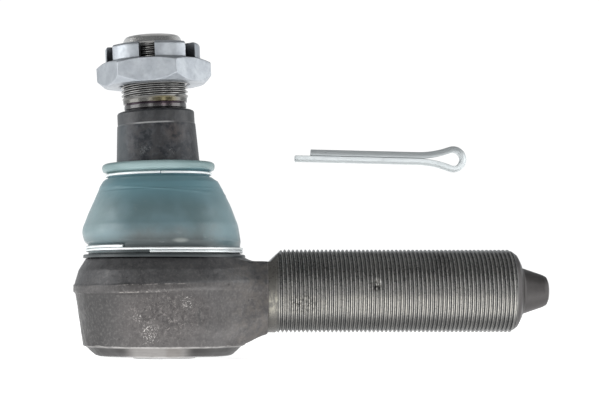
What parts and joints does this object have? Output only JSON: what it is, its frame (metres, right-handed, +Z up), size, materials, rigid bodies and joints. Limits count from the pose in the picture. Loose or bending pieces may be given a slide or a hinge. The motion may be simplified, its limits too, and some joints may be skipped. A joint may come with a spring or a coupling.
{
  "type": "tie rod end",
  "caption": "Heavy vehicle tie rod end: a forged head with a preloaded ball stud, rubber boot and castle nut, on a threaded shank, with a loose split pin beside it.",
  "frame": {"origin": "centre of the ball, on the shank's axis", "axes": "+X along the shank, towards its free end; +Z up the socket's axis, towards the stud's thread; the stud leans 3 degrees towards -X at rest"},
  "size_m": [0.1716, 0.0652, 0.1163],
  "materials": {
    "forged_steel": "dark forging scale, machined thread",
    "stud_steel": "dark phosphate",
    "zinc_steel": "satin zinc plate",
    "bright_wire": "bright drawn wire",
    "plate_steel": "pressed plate",
    "spring_steel": "oiled spring steel",
    "bearing_plastic": "natural acetal",
    "boot_rubber": "smooth blue-green rubber",
    "seal_rubber": "black rubber"
  },
  "bodies": {
    "housing": {"housing": "forged_steel", "lower_bearing_shell": "bearing_plastic", "thrust_ring": "spring_steel", "disc_spring": "spring_steel", "cover_seal": "seal_rubber", "closure_plate": "plate_steel", "boot_bottom_clamp": "bright_wire"},
    "bearing_race": {"upper_bearing_shell": "bearing_plastic", "dust_boot": "boot_rubber"},
    "boot_collar": {"boot_top_clamp": "bright_wire"},
    "ball_stud": {"ball_stud": "stud_steel"},
    "castle_nut": {"castle_nut": "zinc_steel"},
    "cotter_pin": {"cotter_pin": "zinc_steel"}
  },
  "joints": [
    {"name": "stud_swing", "type": "hinge", "parent": "housing", "child": "bearing_race", "pos_m": [0, 0, 0], "axis": [0, 0, 1], "continuous": true},
    {"name": "stud_tilt", "type": "hinge", "parent": "bearing_race", "child": "boot_collar", "pos_m": [0, 0, 0], "axis": [0, 1, 0], "range_deg": [-19, 25], "deforming": ["dust_boot"]},
    {"name": "stud_spin", "type": "hinge", "parent": "boot_collar", "child": "ball_stud", "pos_m": [0, 0, 0], "axis": [-0.0523, 0, 0.9986], "continuous": true},
    {"name": "nut_travel", "type": "slide", "parent": "ball_stud", "child": "castle_nut", "axis": [-0.0523, 0, 0.9986], "range_m": [-0.0045, 0.0185]},
    {"name": "split_pin_slide", "type": "slide", "parent": "housing", "child": "cotter_pin", "axis": [0.9998, 0, -0.0192], "range_m": [0, 0.05]}
  ]
}
